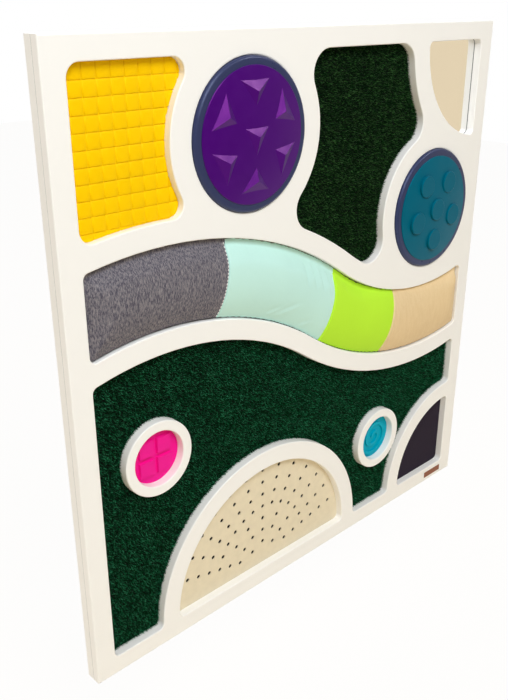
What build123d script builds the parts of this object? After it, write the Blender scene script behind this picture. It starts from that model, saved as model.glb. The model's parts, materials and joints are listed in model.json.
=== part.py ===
from build123d import *
import os
from math import asin, cos, degrees, radians, sin, sqrt

# Wall-hung touch panel of two lacquered boards. Openings in the front board show the inserts that
# the back board carries. X runs to the right and Z up, the wall is at Y = 0 and the front faces -Y.
# All lengths are in millimetres. Shares are fractions of the panel's width or height from its centre.

# Boards
panel_width = 1200.0
panel_height = 1200.0
back_thickness = 18.0
front_thickness = 18.0
side_border = 43.0
end_border = 40.0
rail_width = 43.0
edge_rounding = 2.5
seam_chamfer = 0.8
insert_lip = 6.0
fit_gap = 0.5
overrun = 5.0

# Corner radii of the openings
tile_corner_radius = 24.0
turf_corner_radius = 46.0
tight_corner_radius = 12.0

# Wave opening, given by its upper edge: the hump's top, the dip's bottom, and the share of the way from
# the one to the other at which their two arcs meet
wave_width = 157.0
hump_shares = (-0.3263, 0.2082)
dip_shares = (0.3392, -0.0011)
wave_join_share = 0.6042

# Large discs
disc_radius = 139.5
disc_face_radius = 124.0
rim_shoulder_rise = 3.5
rim_rounding = 3.0
rim_inner_rise = 6.0
face_edge_rise = 2.0
face_edge_chamfer = 1.0
face_dome_rise = 8.0
relief_root = 4.0
purple_shares = (-0.1513, 0.3467)
purple_margin = 48.0
teal_shares = (0.3402, 0.1558)
teal_margin = 43.0

# Relief of the large discs
pyramid_side = 53.0
pyramid_height = 8.0
pyramid_tip_radius = 0.8
pyramid_orbit = 79.5
bump_radius = 25.5
bump_height = 4.5
bump_rounding = 2.5
bump_orbit = 73.0

# Rings and small discs
ring_radius = 78.5
ring_hole_radius = 57.5
left_ring_shares = (-0.3526, -0.1339)
right_ring_arch_gap = 48.8
right_ring_quarter_gap = 26.3
small_disc_thickness = 4.0
square_side = 35.0
square_spacing = 42.0
square_height = 5.0
square_taper = 18.0
curl_spacing = 22.0
curl_width = 8.0
curl_height = 4.0
curl_half_turns = 4

# Mirror, perforated panel and felt
mirror_inset_x = 26.0
mirror_inset_z = 38.0
mirror_radius = 219.0
mirror_margin = 54.0
mirror_thickness = 3.0
arch_share = -0.1097
arch_radius = 260.5
perforated_thickness = 5.0
perforation_radius = 4.6
perforation_spacing = 31.3
perforation_first_radius = 41.0
perforation_centre_rise = 16.0
perforation_rays = 13
perforation_rows = 7
perforation_skip_counts = (1, 3, 0, 3)
quarter_radius = 202.5
felt_thickness = 3.0

# Tile mat
tile_mat_thickness = 3.5
tile_spacing = 26.5
tile_groove_width = 2.2
tile_groove_depth = 1.3

# Turf
turf_thickness = 7.0
turf_pocket_depth = 4.0

# Wave pad
pad_gap = 0.6
pad_board_thickness = 6.0
pad_edge_rise = 5.0
pad_crown_rise = 26.0
pad_tuck = 1.6
pad_shoulder_share = 0.5
pad_bulge_share = 0.45
pad_end_roll = 60.0
pad_roll_lift = 0.5
cover_thickness = 1.5
denim_seam_angle = 10.4
denim_seam_lean = 10.8
aqua_seam_angle = 35.3
aqua_seam_lean = 16.5
lime_seam_angle = 12.9
lime_seam_lean = 16.6

# Screws, all driven from the back
screw_radius = 2.0
screw_head_radius = 4.0
screw_head_depth = 2.4
screw_tip_cover = 5.0
pad_screw_tip_cover = 1.5
screw_gap = 0.1
ring_screw_count = 3
disc_screw_count = 4
disc_screw_orbit = 95.0
pad_screw_angles = (-8.0, 8.0, 24.0)

# Keyhole hanger plates, let into the back
hanger_inset_x = 120.0
hanger_inset_z = 120.0
hanger_length = 64.0
hanger_width = 24.0
hanger_thickness = 2.5
keyhole_entry_radius = 5.0
keyhole_slot_radius = 2.5
keyhole_travel = 12.0
keyhole_head_depth = 8.0
keyhole_head_room = 2.0
hanger_screw_tip_cover = 6.0
hanger_screw_inset = 8.0

# Values worked out from the sizes above
joint_height = back_thickness
front_height = back_thickness + front_thickness
pad_floor = joint_height + pad_board_thickness
screw_length = front_height - screw_tip_cover
pad_screw_length = pad_floor - pad_screw_tip_cover
hanger_screw_length = back_thickness - hanger_screw_tip_cover
field_width = panel_width - 2 * side_border
field_height = panel_height - 2 * end_border
right_edge = panel_width / 2
top_edge = panel_height / 2


def placed(shares):
    """Point of the panel, as (x, z), at these shares of its width and height."""
    return shares[0] * panel_width, shares[1] * panel_height


purple_x, purple_z = placed(purple_shares)
teal_x, teal_z = placed(teal_shares)
hump_x, hump_z = placed(hump_shares)
dip_x, dip_z = placed(dip_shares)
left_ring = placed(left_ring_shares)
arch_centre = (arch_share * panel_width, -field_height / 2)
quarter_centre = (field_width / 2, -field_height / 2)

# The right ring keeps its gaps from the rails of the arch and of the quarter, whose centres are level
arch_ring_reach = arch_radius + rail_width + right_ring_arch_gap + ring_radius
quarter_ring_reach = quarter_radius + rail_width + right_ring_quarter_gap + ring_radius
centre_span = quarter_centre[0] - arch_centre[0]
ring_run = (arch_ring_reach**2 - quarter_ring_reach**2 + centre_span**2) / (2 * centre_span)
ring_rise = sqrt(arch_ring_reach**2 - ring_run**2)
right_ring = (arch_centre[0] + ring_run, arch_centre[1] + ring_rise)
mirror_centre = (right_edge - mirror_inset_x, top_edge - mirror_inset_z)

# The two arcs touch where the line between their centres crosses the wave
wave_fall = hump_z - dip_z
wave_run = dip_x - hump_x
arc_sum = (wave_run**2 + wave_fall**2) / (2 * wave_fall)
hump_radius = wave_join_share * arc_sum
dip_radius = arc_sum - hump_radius
hump_centre = (hump_x, hump_z - hump_radius)
dip_centre = (dip_x, dip_z + dip_radius)
join_angle = degrees(asin(wave_run / arc_sum))


def layer(height):
    """Sketching plane parallel to the wall at this height above it, seen from the front."""
    return Plane(origin=(0, -height, 0), x_dir=(1, 0, 0), z_dir=(0, -1, 0))


def slab(outline, low, high):
    """Solid of an outline between two heights above the wall."""
    return extrude(layer(low) * outline, amount=high - low)


def disc(centre, radius):
    """Round outline about a point of the panel."""
    return Pos(*centre) * Circle(radius)


def between(left, right):
    """Full-height strip of the panel between two x positions."""
    return Pos((left + right) / 2, 0) * Rectangle(right - left, panel_height)


def field(grow):
    """The panel inside its borders, grown on all sides."""
    return Rectangle(field_width + 2 * grow, field_height + 2 * grow)


def wave_floor(rise):
    """Everything below the wave's upper edge, with that edge moved up square to itself."""
    hump_reach = hump_radius + rise
    dip_reach = dip_radius - rise
    left_angle = degrees(asin((hump_x + right_edge) / hump_reach))
    right_angle = degrees(asin((right_edge - dip_x) / dip_reach))
    hump = CenterArc(hump_centre, hump_reach, 90 + left_angle, -left_angle - join_angle)
    dip = CenterArc(dip_centre, dip_reach, 270 - join_angle, join_angle + right_angle)
    rest = Polyline(dip @ 1, (right_edge, -top_edge), (-right_edge, -top_edge), hump @ 0)
    return make_face([*hump.edges(), *dip.edges(), *rest.edges()])


def rounded(outline, radius):
    """Outline as a round cutter leaves it: the cutter's path, grown by the cutter's radius."""
    path = offset(outline, amount=-radius)
    return offset(path, amount=radius)


# Outlines of the openings. Each is grown by a lip for what sits behind it, or shrunk by a gap
def tile_outline(grow):
    outline = field(grow) & between(-right_edge, purple_x)
    outline -= disc((purple_x, purple_z), disc_radius + purple_margin - grow)
    outline -= wave_floor(rail_width - grow)
    return rounded(outline, tile_corner_radius + grow)


def upper_turf_outline(grow):
    outline = field(grow) & between(purple_x, teal_x)
    outline -= disc((purple_x, purple_z), disc_radius + purple_margin - grow)
    outline -= disc((teal_x, teal_z), disc_radius + teal_margin - grow)
    outline -= disc(mirror_centre, mirror_radius + mirror_margin - grow)
    outline -= wave_floor(rail_width - grow)
    return rounded(outline, turf_corner_radius + grow)


def lower_turf_outline(grow):
    outline = field(grow) & wave_floor(grow - wave_width - rail_width)
    outline -= disc(arch_centre, arch_radius + rail_width - grow)
    outline -= disc(quarter_centre, quarter_radius + rail_width - grow)
    return rounded(outline, tight_corner_radius + grow)


def mirror_outline(grow):
    return rounded(field(grow) & disc(mirror_centre, mirror_radius + grow), tight_corner_radius + grow)


def arch_outline(grow):
    return rounded(field(grow) & disc(arch_centre, arch_radius + grow), tight_corner_radius + grow)


def quarter_outline(grow):
    return rounded(field(grow) & disc(quarter_centre, quarter_radius + grow), tight_corner_radius + grow)


def wave_outline(grow):
    band = wave_floor(grow) - wave_floor(-wave_width - grow)
    return rounded(field(grow) & band, tight_corner_radius + grow)


def around(centre, radius, count, first_angle):
    """Points evenly spaced on a circle of the panel."""
    angles = [radians(first_angle + 360 * step / count) for step in range(count)]
    return [(centre[0] + radius * cos(angle), centre[1] + radius * sin(angle)) for angle in angles]


def on_hump(angle, depth):
    """Point below the wave's upper edge, at an angle to the right of the hump's top."""
    reach = hump_radius - depth
    return hump_centre[0] + reach * sin(radians(angle)), hump_centre[1] + reach * cos(radians(angle))


def on_dip(angle, depth):
    """Point below the wave's upper edge, at an angle to the right of the dip's bottom."""
    reach = dip_radius + depth
    return dip_centre[0] + reach * sin(radians(angle)), dip_centre[1] - reach * cos(radians(angle))


# Places of the screws
def board_screw_points():
    """Along the borders, and in the wood around the discs, the arch, the quarter and the wave."""
    side_x = right_edge - side_border / 2
    end_z = top_edge - end_border / 2
    side_shares = (-0.45, -0.15, 0.15, 0.45)
    end_shares = (-0.15, 0.15)
    points = [(sign * side_x, share * panel_height) for sign in (-1, 1) for share in side_shares]
    points += [(share * panel_width, sign * end_z) for sign in (-1, 1) for share in end_shares]
    points += around((purple_x, purple_z), disc_radius + purple_margin / 2, 2, 0)
    points += around((teal_x, teal_z), disc_radius + teal_margin / 2, 1, 150)
    points += around(arch_centre, arch_radius + rail_width / 2, 4, 45)[:2]
    points += around(quarter_centre, quarter_radius + rail_width / 2, 1, 135)
    points += [on_hump(0, wave_width + rail_width / 2), on_dip(0, wave_width + rail_width / 2)]
    return points


ring_middle_radius = (ring_radius + ring_hole_radius) / 2
ring_screw_points = [
    point
    for centre in (left_ring, right_ring)
    for point in around(centre, ring_middle_radius, ring_screw_count, 90)
]
disc_screw_points = [
    point
    for centre in ((purple_x, purple_z), (teal_x, teal_z))
    for point in around(centre, disc_screw_orbit, disc_screw_count, 45)
]
pad_screw_points = [on_hump(angle, wave_width / 2) for angle in pad_screw_angles]
pad_screw_points += [on_dip(-angle, wave_width / 2) for angle in pad_screw_angles]
hanger_x = right_edge - hanger_inset_x
hanger_z = top_edge - hanger_inset_z
hanger_points = [(x * hanger_x, z * hanger_z) for x in (-1, 1) for z in (-1, 1)]
hanger_screw_offset = hanger_length / 2 - hanger_screw_inset


def screw_body(length, gap):
    """Countersunk screw pointing to the front, head flush at the wall side, shank grown by a gap."""
    shank = screw_radius + gap
    profile = Polyline(
        (0, 0),
        (screw_head_radius, 0),
        (shank, screw_head_depth),
        (shank, length + gap),
        (0, length + gap),
        close=True,
    )
    return revolve(Plane.XZ * make_face(profile.edges()), axis=Axis.Z)


def screws_at(points, length, gap=0):
    """Screws, or the holes for them when a gap is given, at points of the panel."""
    body = screw_body(length, gap)
    return [layer(0).location * Pos(*point, 0) * body for point in points]


def hanger_screw_places():
    """The two screws of each hanger plate, above and below its keyhole."""
    return [(x, z + sign * hanger_screw_offset) for x, z in hanger_points for sign in (-1, 1)]


# Boards
def front_board():
    board = slab(Rectangle(panel_width, panel_height), joint_height, front_height)
    board = chamfer(board.edges().group_by(Axis.Y)[-1], seam_chamfer)
    openings = [
        tile_outline(0),
        upper_turf_outline(0),
        lower_turf_outline(0),
        mirror_outline(0),
        arch_outline(0),
        quarter_outline(0),
        wave_outline(0),
        disc((purple_x, purple_z), disc_radius + fit_gap),
        disc((teal_x, teal_z), disc_radius + fit_gap),
    ]
    for opening in openings:
        board -= slab(opening, joint_height - overrun, front_height + overrun)
    board = fillet(board.edges().group_by(Axis.Y)[0], edge_rounding)
    return board - screws_at(board_screw_points(), screw_length, screw_gap)


def back_board():
    board = slab(Rectangle(panel_width, panel_height), 0, joint_height)
    board = chamfer(board.edges().group_by(Axis.Y)[0], seam_chamfer)
    ring_feet = [disc(left_ring, ring_radius), disc(right_ring, ring_radius)]
    pockets = [
        (upper_turf_outline(0), turf_pocket_depth),
        (lower_turf_outline(0) - ring_feet, turf_pocket_depth),
        (mirror_outline(insert_lip + fit_gap), mirror_thickness),
        (arch_outline(insert_lip + fit_gap), perforated_thickness),
        (quarter_outline(insert_lip + fit_gap), felt_thickness),
        (disc(left_ring, ring_hole_radius), small_disc_thickness),
        (disc(right_ring, ring_hole_radius), small_disc_thickness),
    ]
    for outline, depth in pockets:
        board -= slab(outline, joint_height - depth, joint_height + overrun)
    seat = SlotOverall(hanger_length + 2 * fit_gap, hanger_width + 2 * fit_gap, rotation=90)
    head_width = 2 * (keyhole_entry_radius + keyhole_head_room)
    head_slot = SlotCenterToCenter(keyhole_travel, head_width, rotation=90)
    for x, z in hanger_points:
        plate_seat = Pos(x, z) * seat
        head_path = Pos(x, z + keyhole_travel / 2) * head_slot
        board -= slab(plate_seat, -overrun, hanger_thickness)
        board -= slab(head_path, 0, hanger_thickness + keyhole_head_depth)
    through = ring_screw_points + disc_screw_points + pad_screw_points + board_screw_points()
    board -= screws_at(through, back_thickness + overrun, screw_gap)
    return board - screws_at(hanger_screw_places(), hanger_screw_length, screw_gap)


def hanger(point):
    """Keyhole plate: the screw head enters the round hole and the panel drops until the slot holds it."""
    slot = SlotCenterToCenter(keyhole_travel, 2 * keyhole_slot_radius, rotation=90)
    plate = Pos(*point) * SlotOverall(hanger_length, hanger_width, rotation=90)
    plate -= disc(point, keyhole_entry_radius)
    plate -= Pos(point[0], point[1] + keyhole_travel / 2) * slot
    ends = [(point[0], point[1] + sign * hanger_screw_offset) for sign in (-1, 1)]
    return slab(plate, 0, hanger_thickness) - screws_at(ends, hanger_screw_length, screw_gap)


def ring(centre):
    """Loose ring of the front board's thickness that frames a small disc."""
    outline = disc(centre, ring_radius) - disc(centre, ring_hole_radius)
    body = slab(outline, joint_height, front_height)
    body = fillet(body.edges().group_by(Axis.Y)[0], edge_rounding)
    points = around(centre, ring_middle_radius, ring_screw_count, 90)
    return body - screws_at(points, screw_length, screw_gap)


# Large discs
def turned(centre, edges):
    """Solid turned about an axis square to the panel, from a closed profile of radius and height."""
    plane = Plane(origin=(centre[0], 0, centre[1]), x_dir=(1, 0, 0), z_dir=(0, 0, -1))
    return revolve(plane * make_face(edges), axis=Axis((centre[0], 0, centre[1]), (0, 1, 0)))


rim_height = front_height + rim_inner_rise
face_edge_height = rim_height + face_edge_rise
face_top_height = face_edge_height + face_dome_rise
face_cap_radius = disc_face_radius - face_edge_chamfer
dome_radius = (face_cap_radius**2 + face_dome_rise**2) / (2 * face_dome_rise)


def dome_height(distance):
    """Height of a disc face's surface above the wall, at a distance from its centre."""
    return face_top_height - dome_radius + sqrt(dome_radius**2 - distance**2)


def disc_base(centre):
    """Dark rubber base that passes through the front board and carries the face on its rounded rim."""
    shoulder = front_height + rim_shoulder_rise
    inner = disc_radius - rim_rounding
    wall = Polyline(
        (0, rim_height),
        (0, joint_height),
        (disc_radius, joint_height),
        (disc_radius, shoulder - rim_rounding),
    )
    turn = CenterArc((inner, shoulder - rim_rounding), rim_rounding, 0, 90)
    top = Polyline(turn @ 1, (disc_face_radius, rim_height), (0, rim_height))
    body = turned(centre, [*wall.edges(), *turn.edges(), *top.edges()])
    return body - screws_at(around(centre, disc_screw_orbit, disc_screw_count, 45), screw_length, screw_gap)


def disc_face(centre):
    """Domed face plate without its relief."""
    side = Polyline(
        (0, face_top_height),
        (0, rim_height),
        (disc_face_radius, rim_height),
        (disc_face_radius, face_edge_height - face_edge_chamfer),
        (face_cap_radius, face_edge_height),
    )
    cap_angle = degrees(asin(face_cap_radius / dome_radius))
    cap = CenterArc((0, face_top_height - dome_radius), dome_radius, 90 - cap_angle, cap_angle)
    return turned(centre, [*side.edges(), *cap.edges()])


def pyramid(point, distance, turn):
    """Three-sided pyramid rooted in a disc face, at a distance from the face's centre."""
    foot = dome_height(distance) - relief_root
    tip = dome_height(distance) + pyramid_height
    foot_radius = pyramid_side / sqrt(3) * (pyramid_height + relief_root) / pyramid_height
    triangle = Pos(*point) * RegularPolygon(foot_radius, 3, rotation=turn)
    point_triangle = Pos(*point) * RegularPolygon(pyramid_tip_radius, 3, rotation=turn)
    return loft([layer(foot) * triangle, layer(tip) * point_triangle])


def purple_face():
    """Seven pyramids: one in the middle and six around it, pointing up or down."""
    centre = (purple_x, purple_z)
    points_up, points_down = 90, 270
    turns = (points_down, points_up, points_down, points_up, points_down, points_up)
    face = disc_face(centre) + pyramid(centre, 0, points_down)
    for point, turn in zip(around(centre, pyramid_orbit, 6, 90), turns):
        face += pyramid(point, pyramid_orbit, turn)
    return face


def bump(point, distance):
    """Low round button rooted in a disc face."""
    surface = dome_height(distance)
    button = slab(disc(point, bump_radius), surface - relief_root, surface + bump_height)
    return fillet(button.edges().group_by(Axis.Y)[0], bump_rounding)


def teal_face():
    """Six buttons: one in the middle and five around it, one of them straight below."""
    centre = (teal_x, teal_z)
    face = disc_face(centre) + bump(centre, 0)
    for point in around(centre, bump_orbit, 5, 270):
        face += bump(point, bump_orbit)
    return face


# Small discs inside the rings
def small_disc(centre):
    """Round rubber base, let into the back board flush with its face."""
    return slab(disc(centre, ring_hole_radius - fit_gap), joint_height - small_disc_thickness, joint_height)


def pink_disc():
    """Four raised squares with sloping sides."""
    square = Rectangle(square_side, square_side)
    squares = Sketch() + GridLocations(square_spacing, square_spacing, 2, 2) * square
    feet = layer(joint_height) * Pos(*left_ring) * squares
    return small_disc(left_ring) + extrude(feet, amount=square_height, taper=square_taper)


def blue_disc():
    """Raised ridge that curls outwards in half circles, each a step wider than the last."""
    ridge = Sketch()
    for step in range(curl_half_turns):
        side = 1 if step % 2 == 0 else -1
        radius = curl_spacing * (step + 1) / 2
        half = Circle(radius + curl_width / 2) - Circle(radius - curl_width / 2)
        reach = radius + curl_width
        half &= Pos(0, side * reach / 2) * Rectangle(2 * reach, reach)
        ridge += Pos(side * curl_spacing / 4, 0) * half
    ridge &= Circle(ring_hole_radius - fit_gap)
    return small_disc(right_ring) + slab(Pos(*right_ring) * ridge, joint_height, joint_height + curl_height)


# Sheets and mats
def tile_mat():
    """Rubber mat with square tiles divided by V-shaped grooves."""
    top = joint_height + tile_mat_thickness
    outline = tile_outline(-fit_gap)
    box = outline.bounding_box()
    mat = slab(outline, joint_height, top)
    half = tile_groove_width / 2
    notch = Polygon(
        (half, top + overrun),
        (-half, top + overrun),
        (-half, top),
        (0, top - tile_groove_depth),
        (half, top),
        align=None,
    )
    down_plane = Plane(origin=(0, 0, top_edge), x_dir=(1, 0, 0), z_dir=(0, 0, -1))
    along_plane = Plane(origin=(-right_edge, 0, 0), x_dir=(0, 0, -1), z_dir=(1, 0, 0))
    groove_down = extrude(down_plane * notch, amount=panel_height)
    groove_along = extrude(along_plane * notch, amount=right_edge)
    columns = int(box.size.X / tile_spacing)
    rows = int(box.size.Y / tile_spacing)
    mat -= [Pos(box.min.X + tile_spacing * (step + 1), 0, 0) * groove_down for step in range(columns)]
    mat -= [Pos(0, 0, box.max.Y - tile_spacing * (step + 1)) * groove_along for step in range(rows)]
    return mat


def turf(outline):
    """Turf with its pile, in a pocket of the back board."""
    floor = joint_height - turf_pocket_depth
    return slab(outline, floor, floor + turf_thickness)


def lower_turf():
    """The large turf, with round cut-outs for the two rings."""
    feet = [disc(left_ring, ring_radius + fit_gap), disc(right_ring, ring_radius + fit_gap)]
    return turf(lower_turf_outline(-fit_gap) - feet)


def perforated_panel():
    """Sheet with holes on rays that fan out from a point above the sill."""
    outline = arch_outline(insert_lip)
    holes = []
    for ray in range(perforation_rays):
        angle = radians(180 * (ray + 1) / (perforation_rays + 1))
        first = perforation_skip_counts[ray % len(perforation_skip_counts)]
        for row in range(first, perforation_rows):
            distance = perforation_first_radius + perforation_spacing * row
            across = arch_centre[0] + distance * cos(angle)
            up = arch_centre[1] + perforation_centre_rise + distance * sin(angle)
            holes.append(disc((across, up), perforation_radius))
    return slab(outline - holes, joint_height - perforated_thickness, joint_height)


# Wave pad
def pad_side(reach, inset):
    """Drawn-in side of the pad: its foot, its bulge and its shoulder, at a reach from the middle."""
    shoulder = pad_floor + pad_edge_rise - inset
    foot_point = (reach - pad_tuck - inset, pad_floor)
    bulge_point = (reach - inset, pad_floor + (shoulder - pad_floor) * pad_bulge_share)
    shoulder_point = (reach - pad_tuck * pad_shoulder_share - inset, shoulder)
    return foot_point, bulge_point, shoulder_point


def mirrored(points):
    """The same points on the other side of the middle, in the other order."""
    return [(-across, height) for across, height in reversed(points)]


def pad_section(inset):
    """Section across the pad: flat foot, drawn-in sides and a crown."""
    right = pad_side(wave_width / 2 - pad_gap, inset)
    left = mirrored(right)
    crown = pad_floor + pad_crown_rise - inset
    foot = Line(left[2], right[0])
    right_side = ThreePointArc(*right)
    top = ThreePointArc(right[2], (0, crown), left[0])
    left_side = ThreePointArc(*left)
    return make_face([*foot.edges(), *right_side.edges(), *top.edges(), *left_side.edges()])


def pad_length_limit(inset):
    """Solid that rolls the pad's crown down to its two ends."""
    reach = field_width / 2 - pad_gap
    right = pad_side(reach, inset)
    left = mirrored(right)
    crown = pad_floor + pad_crown_rise + pad_roll_lift - inset
    roll_start = (right[2][0] - pad_end_roll, crown)
    sagitta = crown - right[2][1]
    roll_radius = (pad_end_roll**2 + sagitta**2) / (2 * sagitta)
    roll_angle = degrees(asin(pad_end_roll / roll_radius))
    right_roll = CenterArc((roll_start[0], crown - roll_radius), roll_radius, 90 - roll_angle, roll_angle)
    left_roll = CenterArc((-roll_start[0], crown - roll_radius), roll_radius, 90, roll_angle)
    foot = Line(left[2], right[0])
    top = Line(right_roll @ 1, left_roll @ 0)
    edges = [*foot.edges(), *ThreePointArc(*right).edges(), *right_roll.edges()]
    edges += [*top.edges(), *left_roll.edges(), *ThreePointArc(*left).edges()]
    plane = Plane(origin=(0, 0, top_edge), x_dir=(1, 0, 0), z_dir=(0, 0, -1))
    return extrude(plane * make_face(edges), amount=panel_height)


def pad_body(inset):
    """The whole pad, swept along the hump and the dip from where they meet."""
    lean = radians(join_angle)
    across = (sin(lean), 0, cos(lean))
    along = (cos(lean), 0, -sin(lean))
    section = pad_section(inset)
    corners = slab(wave_outline(-pad_gap / 2 - inset), joint_height, front_height + pad_crown_rise)
    limit = pad_length_limit(inset) & corners
    turns = []
    for centre, reach, sign, run in (
        (hump_centre, hump_radius - wave_width / 2, 1, hump_x + right_edge),
        (dip_centre, dip_radius + wave_width / 2, -1, right_edge - dip_x),
    ):
        origin = (centre[0], 0, centre[1])
        plane = Plane(
            origin=origin,
            x_dir=[sign * part for part in across],
            z_dir=[sign * part for part in along],
        )
        sweep = join_angle + degrees(asin(run / (reach - wave_width / 2)))
        turn = revolve(plane * Pos(reach, 0) * section, axis=Axis(origin, (0, -1, 0)), revolution_arc=sweep)
        turns.append(turn & limit)
    return turns[0] + turns[1]


def seam_line(point, lean):
    """Lower and upper end of a cut across the wave, leaning to the right at its top."""
    across = wave_width * sin(radians(lean))
    up = wave_width * cos(radians(lean))
    return (point[0] - across, point[1] - up), (point[0] + across, point[1] + up)


def cover_cuts():
    """The cuts that part the covers: the left end, three seams and the right end."""
    middle = wave_width / 2
    return [
        seam_line((-right_edge, hump_z - middle), 0),
        seam_line(on_hump(denim_seam_angle, middle), denim_seam_lean),
        seam_line(on_hump(aqua_seam_angle, middle), aqua_seam_lean),
        seam_line(on_dip(-lime_seam_angle, middle), lime_seam_lean),
        seam_line((right_edge, dip_z - middle), 0),
    ]


def covers(core):
    """The four fabric covers, sewn side by side over the foam."""
    whole = pad_body(0)
    cuts = cover_cuts()
    pieces = []
    for left, right in zip(cuts[:-1], cuts[1:]):
        area = Polygon(left[0], right[0], right[1], left[1], align=None)
        stretch = whole & slab(area, pad_floor - overrun, front_height + pad_crown_rise)
        pieces.append(stretch - core)
    return pieces


def pad_board():
    """Board that the pad is stapled to, screwed to the back board."""
    board = slab(wave_outline(-pad_gap), joint_height, pad_floor)
    return board - screws_at(pad_screw_points, pad_screw_length, screw_gap)


def group(bodies):
    """Separate solids that share a node."""
    return Compound(children=[solid for body in bodies for solid in body.solids()])


def main():
    """Builds every piece and writes each to its own file."""
    foam = pad_body(cover_thickness)
    denim, aqua, lime, sand = covers(foam)
    nodes = {
        "back_board": back_board(),
        "front_board": front_board(),
        "left_ring": ring(left_ring),
        "right_ring": ring(right_ring),
        "purple_disc_base": disc_base((purple_x, purple_z)),
        "purple_disc_face": purple_face(),
        "teal_disc_base": disc_base((teal_x, teal_z)),
        "teal_disc_face": teal_face(),
        "pink_disc": pink_disc(),
        "blue_disc": blue_disc(),
        "tile_mat": tile_mat(),
        "upper_turf": turf(upper_turf_outline(-fit_gap)),
        "lower_turf": lower_turf(),
        "mirror_sheet": slab(mirror_outline(insert_lip), joint_height - mirror_thickness, joint_height),
        "perforated_panel": perforated_panel(),
        "felt_quarter": slab(quarter_outline(insert_lip), joint_height - felt_thickness, joint_height),
        "pad_board": pad_board(),
        "pad_foam": foam,
        "denim_cover": denim,
        "aqua_cover": aqua,
        "lime_cover": lime,
        "sand_cover": sand,
        "board_screws": group(screws_at(board_screw_points(), screw_length)),
        "ring_screws": group(screws_at(ring_screw_points, screw_length)),
        "disc_screws": group(screws_at(disc_screw_points, screw_length)),
        "pad_screws": group(screws_at(pad_screw_points, pad_screw_length)),
        "hanger_screws": group(screws_at(hanger_screw_places(), hanger_screw_length)),
    }
    hanger_names = ("lower_left_hanger", "upper_left_hanger", "lower_right_hanger", "upper_right_hanger")
    for name, point in zip(hanger_names, hanger_points):
        nodes[name] = hanger(point)
    os.makedirs("parts", exist_ok=True)
    for name, body in nodes.items():
        export_step(body, f"parts/{name}.step")


main()
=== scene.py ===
"""Looks of a wall-hung touch panel: lacquered boards, turf, a padded wave, relief discs and small inserts."""
import json
import logging
import math
from contextlib import contextmanager
from dataclasses import dataclass, field
from enum import Enum
from typing import Any, Callable, Iterator

import bpy
import numpy as np
from mathutils import Euler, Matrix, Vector
from mathutils.bvhtree import BVHTree
from mathutils.kdtree import KDTree

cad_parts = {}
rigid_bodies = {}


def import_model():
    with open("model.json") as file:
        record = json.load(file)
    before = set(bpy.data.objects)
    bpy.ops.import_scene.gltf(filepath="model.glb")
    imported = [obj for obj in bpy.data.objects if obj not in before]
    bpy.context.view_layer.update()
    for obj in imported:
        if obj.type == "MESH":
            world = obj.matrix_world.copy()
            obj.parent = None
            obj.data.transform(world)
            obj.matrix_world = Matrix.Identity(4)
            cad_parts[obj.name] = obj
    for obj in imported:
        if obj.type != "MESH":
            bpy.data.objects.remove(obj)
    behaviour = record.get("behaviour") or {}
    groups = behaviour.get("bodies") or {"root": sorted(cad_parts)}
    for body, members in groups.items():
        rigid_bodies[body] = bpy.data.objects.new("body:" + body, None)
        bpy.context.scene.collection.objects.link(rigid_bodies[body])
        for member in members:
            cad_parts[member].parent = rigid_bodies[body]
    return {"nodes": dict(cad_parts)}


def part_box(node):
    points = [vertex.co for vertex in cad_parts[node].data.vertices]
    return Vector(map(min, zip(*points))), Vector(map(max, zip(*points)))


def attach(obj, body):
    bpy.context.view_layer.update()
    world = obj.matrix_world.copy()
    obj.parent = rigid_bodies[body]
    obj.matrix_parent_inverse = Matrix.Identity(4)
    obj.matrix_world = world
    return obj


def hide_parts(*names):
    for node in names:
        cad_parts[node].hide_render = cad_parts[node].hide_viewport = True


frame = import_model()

LOG = logging.getLogger("touch_panel")
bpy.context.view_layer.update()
BODY = "root"
Colour = tuple[float, float, float, float]
Triple = tuple[float, float, float]

# Directions, and limits in metres and radians
OUTWARDS = Vector((0.0, -1.0, 0.0))
BEFORE_PANEL = -1.0
UPRIGHT = (math.pi / 2, 0.0, 0.0)
SQUARE_ON = 0.9
FLAT_ANGLE = math.radians(0.5)
HAIR = 0.00001


# Colours and node trees
def swatch(red: float, green: float, blue: float) -> Colour:
    """Linear colour of an 8-bit display colour, by the sRGB curve.

    Args:
        red: Red from 0 to 255.
        green: Green from 0 to 255.
        blue: Blue from 0 to 255.

    Returns:
        The linear colour with full alpha.
    """
    shares = [value / 255 for value in (red, green, blue)]
    linear = [part / 12.92 if part <= 0.04045 else ((part + 0.055) / 1.055) ** 2.4 for part in shares]
    return linear[0], linear[1], linear[2], 1.0


def toned(colour: Colour, share: float) -> Colour:
    """The same colour at a share of its brightness."""
    return colour[0] * share, colour[1] * share, colour[2] * share, 1.0


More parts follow.
